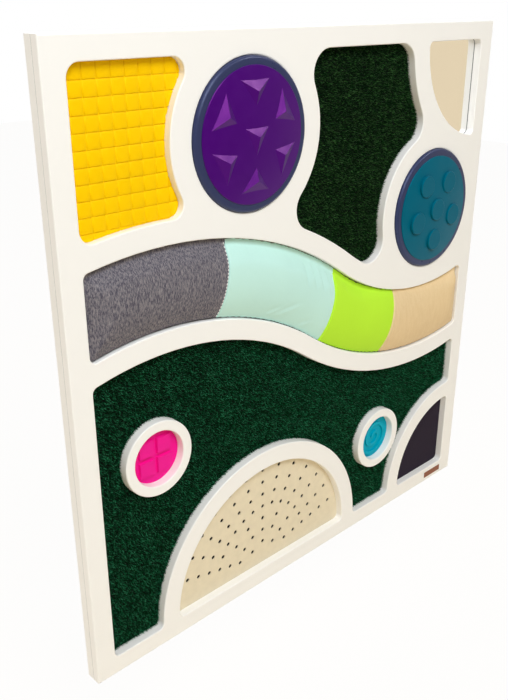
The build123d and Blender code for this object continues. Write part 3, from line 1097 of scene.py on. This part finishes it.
@dataclass
class PerforatedArch:
    """Perforated sheet under the arch, with a dark sheet behind its holes as painted shade in them."""

    sheet: Sheet = Sheet("beige_sheet")
    # A dark sheet behind the holes: painted shade in them
    shade: Felt = Felt("dark_backing", swatch(30, 28, 27), swatch(52, 48, 44))
    sheet_thickness: float = 0.0022
    shade_gap: float = 0.0002
    backing_inset: float = 0.02
    shade_sides: int = 96
    rim_width: float = 0.0004
    rim_steps: int = 2
    rim_angle: float = 60.0

    def build(self) -> None:
        """Thins the sheet, eases the holes' rims and lays the dark sheet of painted shade behind it."""
        low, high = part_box("perforated_panel")
        room = high.y - low.y - self.sheet_thickness
        sheet = merged_copy("perforated_panel", "perforated_sheet")
        pick_faces(sheet, faces_in)
        with editing(sheet):
            bpy.ops.transform.translate(value=(0.0, -room, 0.0))
            bpy.ops.mesh.select_all(action="SELECT")
            bpy.ops.mesh.dissolve_limited(angle_limit=FLAT_ANGLE)
        apply_modifier(
            sheet,
            "BEVEL",
            width=self.rim_width,
            segments=self.rim_steps,
            limit_method="ANGLE",
            angle_limit=math.radians(self.rim_angle),
        )
        smooth(sheet, angle=20.0)
        settle(sheet, self.sheet, "beige_sheet", "perforated_panel")
        self.lay_hole_shade(room - self.shade_gap)

    def lay_hole_shade(self, thickness: float) -> None:
        """Lays the half-round dark sheet, painted shade for the holes, on the floor of the pocket.

        Args:
            thickness: The dark sheet's thickness.
        """
        low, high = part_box("perforated_panel")
        centre = Vector(((low.x + high.x) / 2, high.y, low.z + self.backing_inset / 2))
        # This dark sheet stands in for the shade inside the holes
        backing = begin(
            bpy.ops.mesh.primitive_circle_add,
            "perforated_backing",
            vertices=self.shade_sides,
            radius=(high.x - low.x) / 2 - self.backing_inset,
            fill_type="NGON",
            location=centre,
            rotation=UPRIGHT,
        )
        with editing(backing):
            bpy.ops.mesh.select_all(action="SELECT")
            bpy.ops.mesh.bisect(plane_co=centre, plane_no=(0.0, 0.0, 1.0), clear_inner=True)
        thicken(backing, -thickness)
        settle(backing, self.shade, "aubergine_felt")


@dataclass
class Seam:
    """Line across the pad where two covers are sewn together."""

    left: str
    right: str
    stitch_colour: Colour | None = None
    meeting_distance: float = 0.00005
    point: Vector = field(default_factory=Vector)
    normal: Vector = field(default_factory=Vector)
    low: Vector = field(default_factory=Vector)
    high: Vector = field(default_factory=Vector)

    def find(self) -> None:
        """Reads the seam's plane from the two CAD covers that meet there."""
        theirs = frame["nodes"][self.right].data.vertices
        tree = KDTree(len(theirs))
        for number, vertex in enumerate(theirs):
            tree.insert(vertex.co, number)
        tree.balance()
        own = frame["nodes"][self.left].data.vertices
        shared = [vertex.co.copy() for vertex in own if tree.find(vertex.co)[2] < self.meeting_distance]
        self.low = min(shared, key=lambda corner: corner.z)
        self.high = max(shared, key=lambda corner: corner.z)
        along = Vector((self.high.x - self.low.x, 0.0, self.high.z - self.low.z)).normalized()
        self.normal = Vector((along.z, 0.0, -along.x))
        self.point = (self.low + self.high) / 2

    def distances(self, points: np.ndarray) -> np.ndarray:
        """Signed distance of points from the seam, positive on its right."""
        return (points - np.array(self.point)) @ np.array(self.normal)


@dataclass
class WavePad:
    """Padded wave: one swollen foam form under four covers that are sewn side by side."""

    cloths: tuple[Cloth, ...] = (
        Cloth(
            "denim_cloth",
            swatch(74, 72, 87),
            swatch(160, 154, 156),
            Weave.SLUBBED,
            pull_lines=0.1,
            sheen=0.1,
        ),
        Cloth("aqua_cloth", swatch(197, 238, 230), swatch(205, 244, 238), Weave.FINE, pull_lines=0.2),
        Cloth("lime_cloth", swatch(189, 243, 52), swatch(198, 248, 66), Weave.FINE, pull_lines=0.15),
        Cloth("sand_cloth", swatch(232, 204, 158), swatch(243, 219, 178), Weave.SATIN, pull_lines=0.15),
    )
    seams: tuple[Seam, ...] = (
        Seam("denim_cover", "aqua_cover", swatch(236, 232, 230)),
        Seam("aqua_cover", "lime_cover"),
        Seam("lime_cover", "sand_cover"),
    )
    cover_thickness: float = 0.0015
    voxel: float = 0.0045
    pressure: float = 4.0
    frames: int = 20
    swell_limit: float = 0.004
    side_limit: float = 0.0003
    held_depth: float = 0.0025
    wall_facing: float = 0.6
    edge_depth: float = 0.0005
    edge_digits: int = 4
    tuck_depth: float = 0.009
    tuck_width: float = 0.036
    tuck_rise: float = 0.01
    # Each fold runs from one x and z to another
    folds: tuple[tuple[float, float, float, float], ...] = (
        (-0.131, 0.052, -0.045, 0.064),
        (-0.152, 0.061, -0.1, 0.068),
        (-0.054, 0.009, -0.01, 0.014),
    )
    fold_depth: float = 0.0016
    fold_width: float = 0.0065
    groove_depth: float = 0.003
    groove_width: float = 0.0015
    groove_cuts: tuple[float, ...] = (-2.0, -1.0, 0.0, 1.0, 2.0)
    stitch_spacing: float = 0.0066
    stitch_length: float = 0.0044
    stitch_width: float = 0.0022
    stitch_offset: float = 0.0038
    stitch_step: float = 0.002

    def build(self) -> None:
        """Swells the foam, presses the seams and parts the covers."""
        for seam in self.seams:
            seam.find()
        pad = self.form()
        self.swell(pad)
        apply_modifier(pad, "SUBSURF", levels=1, render_levels=1)
        self.tuck(pad)
        self.crease(pad)
        self.press_seams(pad)
        for number, cloth in enumerate(self.cloths):
            name = cloth.name.removesuffix("_cloth")
            section = self.part(pad, name, number)
            stands_for = (f"{name}_cover", "pad_foam") if number == 0 else (f"{name}_cover",)
            settle(section, cloth, cloth.name, *stands_for)
        bpy.data.objects.remove(pad)
        for seam in self.seams:
            if seam.stitch_colour:
                self.stitch(seam)

    def form(self) -> bpy.types.Object:
        """The pad as the covers leave it, with an even mesh.

        Returns:
            The foam, grown by the covers' thickness and meshed anew.
        """
        pad = merged_copy("pad_foam", "wave_pad")
        apply_modifier(pad, "DISPLACE", strength=self.cover_thickness, mid_level=0.0)
        shape = put("pad_shape", pad.data.copy())
        apply_modifier(pad, "REMESH", mode="VOXEL", voxel_size=self.voxel)
        apply_modifier(pad, "SHRINKWRAP", target=shape, wrap_method="NEAREST_SURFACEPOINT")
        bpy.data.objects.remove(shape)
        points = points_of(pad)
        points[:, 1] = np.minimum(points[:, 1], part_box("pad_foam")[1].y)
        move_points(pad, points)
        return pad

    def swell(self, pad: bpy.types.Object) -> None:
        """Fills the pad by pressure, held at its base, with a limit to how far it moves.

        Args:
            pad: The whole pad.
        """
        rest = points_of(pad)
        base = rest[:, 1].max()
        held = pad.vertex_groups.new(name="held")
        held.add(np.flatnonzero(rest[:, 1] > base - self.held_depth).tolist(), 1.0, "REPLACE")
        activate(pad)
        cloth = pad.modifiers.new("cloth", "CLOTH")
        cloth.settings.vertex_group_mass = held.name
        cloth.settings.use_pressure = True
        cloth.settings.uniform_pressure_force = self.pressure
        cloth.settings.effector_weights.gravity = 0.0
        cloth.point_cache.frame_start = 1
        cloth.point_cache.frame_end = self.frames
        for number in range(1, self.frames + 1):
            bpy.context.scene.frame_set(number)
        swollen = pad.evaluated_get(bpy.context.evaluated_depsgraph_get())
        moved = points_of(swollen) - rest
        pad.modifiers.remove(cloth)
        bpy.context.scene.frame_set(1)
        LOG.info("pad swelled by up to %.1f mm", 1000 * np.linalg.norm(moved, axis=1).max())
        sides = np.linalg.norm(moved[:, [0, 2]], axis=1)
        moved[:, [0, 2]] *= np.minimum(1.0, self.side_limit / np.maximum(sides, HAIR))[:, None]
        moved[:, 1] = np.clip(moved[:, 1], -self.swell_limit, 0.0)
        move_points(pad, rest + moved)

    def upper_edge(self) -> tuple[np.ndarray, np.ndarray]:
        """Upper edge of the foam's base, read from the CAD foam.

        Returns:
            Places across the panel from left to right, and the edge's height at each.
        """
        foam = frame["nodes"]["pad_foam"].data
        base = max(vertex.co.y for vertex in foam.vertices) - self.edge_depth
        upper = [face for face in foam.polygons if face.normal.z > self.wall_facing]
        walls = [face for face in upper if abs(face.normal.y) < self.wall_facing]
        corners = {corner for wall in walls for corner in wall.vertices}
        spots = [foam.vertices[corner].co for corner in corners]
        rim = {round(spot.x, self.edge_digits): spot.z for spot in spots if spot.y > base}
        across = np.array(sorted(rim))
        return across, np.array([rim[x] for x in across])

    def tuck(self, pad: bpy.types.Object) -> None:
        """Draws the covers down along the pad's upper edge, where they go in under the rail.

        Args:
            pad: The whole pad.
        """
        across, up = self.upper_edge()
        slope = np.gradient(up, across)
        points = points_of(pad)
        drop = np.interp(points[:, 0], across, up) - points[:, 2]
        reach = drop / np.hypot(1.0, np.interp(points[:, 0], across, slope)) / self.tuck_width
        reach = np.clip(reach, 0.0, 1.0)
        rise = np.clip((points[:, 1].max() - points[:, 1]) / self.tuck_rise, 0.0, 1.0)
        points[:, 1] += self.tuck_depth * rise * (1.0 - reach**2 * (3.0 - 2.0 * reach))
        move_points(pad, points)

    def crease(self, pad: bpy.types.Object) -> None:
        """Presses short folds, each a ridge beside a hollow, into the covers.

        Args:
            pad: The whole pad.
        """
        points = points_of(pad)
        top = points[:, 1] < points[:, 1].max() - self.held_depth
        for fold in self.folds:
            start = np.array(fold[:2])
            run = np.array(fold[2:]) - start
            length = np.linalg.norm(run)
            along = run / length
            offset = points[:, [0, 2]] - start
            reach = offset @ along / length
            side = offset @ np.array((-along[1], along[0])) / self.fold_width
            fade = np.clip(1.0 - (2.0 * reach - 1.0) ** 2, 0.0, 1.0)
            points[:, 1] += self.fold_depth * fade * top * side * np.exp(-(side**2))
        move_points(pad, points)

    def press_seams(self, pad: bpy.types.Object) -> None:
        """Draws the covers in along each seam.

        Args:
            pad: The whole pad.
        """
        for seam in self.seams:
            with editing(pad):
                for cut in self.groove_cuts:
                    bpy.ops.mesh.select_all(action="SELECT")
                    place = seam.point + seam.normal * self.groove_width * cut
                    bpy.ops.mesh.bisect(plane_co=place, plane_no=seam.normal)
            points = points_of(pad)
            top = points[:, 1] < points[:, 1].max() - self.held_depth
            drawn = np.exp(-((seam.distances(points) / self.groove_width) ** 2))
            points[:, 1] += self.groove_depth * drawn * top
            move_points(pad, points)

    def part(self, pad: bpy.types.Object, name: str, number: int) -> bpy.types.Object:
        """Cuts one cover's stretch from the pad.

        Args:
            pad: The whole pad.
            name: The cover's name.
            number: Its place from the left.

        Returns:
            The closed stretch.
        """
        section = put(f"{name}_pad", pad.data.copy())
        cuts = []
        if number > 0:
            cuts.append((self.seams[number - 1], {"clear_inner": True}))
        if number < len(self.seams):
            cuts.append((self.seams[number], {"clear_outer": True}))
        with editing(section):
            for seam, cleared in cuts:
                bpy.ops.mesh.select_all(action="SELECT")
                bpy.ops.mesh.bisect(plane_co=seam.point, plane_no=seam.normal, use_fill=True, **cleared)
        smooth(section, angle=60.0)
        return section

    def stitch(self, seam: Seam) -> None:
        """Sews short stitches beside a seam, each lying on the cover.

        Args:
            seam: The seam.
        """
        size = (self.stitch_width, self.stitch_width, self.stitch_length)
        sphere = bpy.ops.mesh.primitive_uv_sphere_add
        points, faces = take_apart(begin(sphere, "stitch_model", size, segments=8, ring_count=6, radius=0.5))
        ground = tree_of(bpy.data.objects[seam.left.replace("cover", "pad")])
        span = seam.high - seam.low
        span.y = 0.0
        along = span.normalized()
        rows = []
        for number in range(1, int(span.length / self.stitch_spacing)):
            place = seam.low + along * self.stitch_spacing * number - seam.normal * self.stitch_offset
            beyond = place + along * self.stitch_step
            hit = met_from_front(ground, place.x, place.z)
            ahead = met_from_front(ground, beyond.x, beyond.z)
            if hit is None or ahead is None:
                continue
            run = (ahead - hit).normalized()
            side = run.cross(OUTWARDS).normalized()
            axes = np.array([side, run.cross(side), run])
            rows.append(points @ axes + np.array(hit))
        name = f"{seam.left.split('_')[0]}_stitches"
        piece = new_piece(name, np.concatenate(rows), repeated(faces, len(points), len(rows)))
        smooth(piece, angle=80.0)
        thread = Cloth("seam_thread", seam.stitch_colour, toned(seam.stitch_colour, 1.1), Weave.FINE)
        settle(piece, thread, "denim_cloth")


@dataclass
class BarePlate:
    """Small metal plate on the lower border, without any words."""

    centre: Vector = field(default_factory=lambda: Vector((0.5165, -0.036, -0.581)))
    width: float = 0.071
    height: float = 0.016
    thickness: float = 0.0011
    rim: float = 0.0012
    rim_depth: float = 0.0003
    edge: float = 0.0005
    edge_steps: int = 3
    metal: Metal = Metal(
        "copper_plate", swatch(146, 84, 48), brush=(0.06, 1.0, 1.0), gloss=0.42, metallic=0.6
    )

    def build(self) -> None:
        """Models the plate from a block: eased edges and a sunk field inside a rim."""
        plate = begin(
            bpy.ops.mesh.primitive_cube_add,
            "bare_plate",
            (self.width, self.thickness, self.height),
            size=1.0,
            location=self.centre + OUTWARDS * self.thickness / 2,
        )
        apply_modifier(plate, "BEVEL", width=self.edge, segments=self.edge_steps)
        front = min(face.center.y for face in plate.data.polygons)
        pick_faces(plate, lambda face: face.center.y < front + HAIR)
        with editing(plate):
            bpy.ops.mesh.inset(thickness=self.rim, depth=0.0)
            bpy.ops.mesh.inset(thickness=self.rim_depth, depth=-self.rim_depth)
        smooth(plate, angle=30.0)
        settle(plate, self.metal, "steel")


@dataclass
class BackFittings:
    """Countersunk screws with cross recesses, and the keyhole plates."""

    screw_uses: tuple[str, ...] = ("board", "ring", "disc", "pad", "hanger")
    hanger_places: tuple[str, ...] = ("lower_left", "upper_left", "lower_right", "upper_right")
    head_radius: float = 0.004
    head_depth: float = 0.0024
    head_reach: float = 0.01
    shank_radius: float = 0.002
    recess_length: float = 0.0046
    recess_width: float = 0.0009
    recess_depth: float = 0.0014
    sides: int = 28

    def build(self) -> None:
        """Sets a screw in each place and dresses the keyhole plates."""
        for use in self.screw_uses:
            node = f"{use}_screws"
            low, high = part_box(node)
            points, faces = self.screw(high.y - low.y)
            places = self.places(node)
            placed = np.concatenate([points + np.array((x, 0.0, z)) for x, z in places])
            piece = new_piece(f"{node}_set", placed, repeated(faces, len(points), len(places)))
            smooth(piece, angle=35.0)
            settle(piece, STEEL, "steel", node)
        for place in self.hanger_places:
            dress(f"{place}_hanger", STEEL)

    def places(self, node: str) -> list[tuple[float, float]]:
        """Axes of the screws in a CAD node, read from their heads.

        Args:
            node: The CAD node.

        Returns:
            The x and z of each screw.
        """
        heads: list[list[Vector]] = []
        for vertex in frame["nodes"][node].data.vertices:
            if vertex.co.y < -HAIR:
                continue
            near = [head for head in heads if (head[0] - vertex.co).length < self.head_reach]
            if near:
                near[0].append(vertex.co)
            else:
                heads.append([vertex.co])
        middles = []
        for head in heads:
            across = [corner.x for corner in head]
            up = [corner.z for corner in head]
            middles.append(((min(across) + max(across)) / 2, (min(up) + max(up)) / 2))
        return middles

    def screw(self, length: float) -> tuple[np.ndarray, np.ndarray]:
        """One screw along -Y with its head at the wall, and a cross cut into the head.

        Args:
            length: Its length with the head.

        Returns:
            Its points and triangles.
        """
        model = begin(
            bpy.ops.mesh.primitive_circle_add,
            "screw_model",
            vertices=self.sides,
            radius=self.head_radius,
            fill_type="NGON",
            rotation=UPRIGHT,
        )
        waist = self.shank_radius / self.head_radius
        with editing(model):
            bpy.ops.mesh.select_all(action="SELECT")
            extrude(0.0, -self.head_depth, 0.0)
            bpy.ops.transform.resize(value=(waist, 1.0, waist))
            extrude(0.0, self.head_depth - length, 0.0)
            bpy.ops.mesh.select_all(action="SELECT")
            bpy.ops.mesh.normals_make_consistent(inside=False)
        for across, up in ((self.recess_length, self.recess_width), (self.recess_width, self.recess_length)):
            stretch = (across, 2 * self.recess_depth, up)
            cutter = begin(bpy.ops.mesh.primitive_cube_add, "recess_cutter", stretch, size=1.0)
            apply_modifier(model, "BOOLEAN", object=cutter, operation="DIFFERENCE", solver="EXACT")
            bpy.data.objects.remove(cutter)
        return take_apart(model)


# Studio
def facing(place: Triple, target: Triple, axis: str) -> Euler:
    """Turn that points one axis of a thing at a target."""
    return (Vector(target) - Vector(place)).to_track_quat(axis, "Y").to_euler()


@dataclass
class Lamp:
    """Square soft lamp that faces the panel."""

    name: str
    place: Triple
    power: float
    size: float
    colour: Triple = (1.0, 1.0, 1.0)
    target: Triple = (0.0, 0.0, 0.0)

    def build(self) -> None:
        """Hangs the lamp."""
        data = bpy.data.lights.new(self.name, "AREA")
        data.energy = self.power
        data.size = self.size
        data.color = self.colour
        lamp = put(self.name, data)
        lamp.location = self.place
        lamp.rotation_euler = facing(self.place, self.target, "-Z")


@dataclass
class Card:
    """Upright card that the panel's glossy surfaces show, out of the camera's sight."""

    glow: Glow
    place: Triple
    size: tuple[float, float]
    target: Triple = (0.0, 0.0, 0.3)

    def build(self) -> None:
        """Stands the card so that it faces the panel."""
        card = begin(
            bpy.ops.mesh.primitive_plane_add,
            self.glow.name,
            (*self.size, 1.0),
            size=1.0,
            location=self.place,
            rotation=facing(self.place, self.target, "Z"),
        )
        card.data.materials.append(self.glow.material())
        card.visible_camera = False
        card.visible_diffuse = False


@dataclass
class Studio:
    """Camera, lamps, cards, floor and surroundings."""

    camera_place: Triple = (-1.24123, -1.15038, 0.64326)
    camera_turn: Triple = (67.105, 0.074, -43.747)
    lens: float = 42.567
    sensor: float = 36.0
    floor_place: Triple = (0.0, 3.9, -0.95)
    floor_size: tuple[float, float] = (16.0, 12.2)
    front_light: Colour = (0.265, 0.225, 0.16, 1.0)
    back_light: Colour = (1.0, 1.0, 1.0, 1.0)
    light_change: tuple[float, float] = (-0.2, 0.3)
    lamps: tuple[Lamp, ...] = (
        Lamp("key_lamp", (-1.3, -3.2, 3.6), power=209.0, size=2.5, colour=(0.95, 1.0, 1.05)),
    )
    cards: tuple[Card, ...] = (
        Card(
            Glow("mirror_card", swatch(236, 218, 186)),
            place=(2.6, -1.4, 0.24),
            size=(0.8, 0.8),
            target=(0.5, 0.0, 0.4),
        ),
        Card(Glow("front_card", strength=13.0), place=(-0.4, -3.1, 1.65), size=(0.8, 0.7)),
        Card(
            Glow("right_card", (1.0, 0.97, 0.93, 1.0), strength=16.0),
            place=(1.85, -1.65, 2.15),
            size=(0.8, 0.6),
        ),
    )

    def build(self) -> None:
        """Sets up the studio."""
        self.set_camera()
        for light in self.lamps + self.cards:
            light.build()
        self.lay_floor()
        self.light_world()
        bpy.context.scene.view_settings.view_transform = "Standard"

    def set_camera(self) -> None:
        """Puts the camera where the panel is seen from the upper left."""
        data = bpy.data.cameras.new("camera")
        data.lens = self.lens
        data.sensor_width = self.sensor
        camera = put("camera", data)
        camera.location = self.camera_place
        camera.rotation_euler = [math.radians(angle) for angle in self.camera_turn]
        bpy.context.scene.camera = camera

    def lay_floor(self) -> None:
        """Lays the pale floor well below the panel."""
        plane = bpy.ops.mesh.primitive_plane_add
        floor = begin(plane, "studio_floor", (*self.floor_size, 1.0), size=1.0, location=self.floor_place)
        floor.data.materials.append(StudioFloor("studio_floor").material())

    def light_world(self) -> None:
        """Soft surroundings: white behind the panel, dimmer and warmer before it."""
        world = bpy.data.worlds.new("surroundings")
        graph = Graph(world)
        direction = graph.add("TexCoord").outputs["Generated"]
        backwards = graph.add("SeparateXYZ", {0: direction}).outputs["Y"]
        start, end = self.light_change
        limits = {"Value": backwards, "From Min": start, "From Max": end}
        level = graph.add("MapRange", limits, interpolation_type="SMOOTHSTEP").outputs[0]
        tint = graph.blend(level, self.front_light, self.back_light)
        light = graph.add("Background", {"Color": tint})
        graph.add("OutputWorld", {"Surface": light.outputs[0]})
        bpy.context.scene.world = world


def main() -> None:
    """Builds and dresses the panel, one sub-assembly after the other."""
    logging.basicConfig(level=logging.INFO, format="%(message)s")
    purple = Rubber("purple_rubber", swatch(64, 0, 110), swatch(240, 120, 245), gloss=0.34, level=0.5)
    teal = Rubber("teal_rubber", swatch(0, 96, 120), swatch(20, 200, 235), gloss=0.36, level=0.15)
    pink = Rubber("pink_rubber", swatch(240, 14, 146), swatch(255, 130, 200), gloss=0.42)
    blue = Rubber("blue_rubber", swatch(0, 167, 194), swatch(60, 225, 255), gloss=0.42, level=0.1)
    upper_pile = Pile("upper_turf_pile", swatch(1, 11, 4), swatch(6, 54, 22), swatch(108, 168, 96))
    assemblies = [
        Studio(),
        # The pad board is dressed dark brown, as hardboard and as painted shade in the narrow gap round the
        # pad
        Insert("pad_board", Sheet("hardboard", swatch(58, 48, 42))),
        Boards(),
        ReliefDisc("purple", purple),
        ReliefDisc("teal", teal),
        Insert("pink_disc", pink),
        Insert("blue_disc", blue),
        TileMat(),
        TurfBed("upper_turf", upper_pile, seed=11, part_count=1),
        TurfBed("lower_turf", Pile("lower_turf_pile"), seed=21, part_count=2),
        MirrorCorner(),
        PerforatedArch(),
        Insert("felt_quarter", Felt("aubergine_felt")),
        WavePad(),
        BarePlate(),
        BackFittings(),
    ]
    for assembly in assemblies:
        assembly.build()


if __name__ == "__main__":
    main()
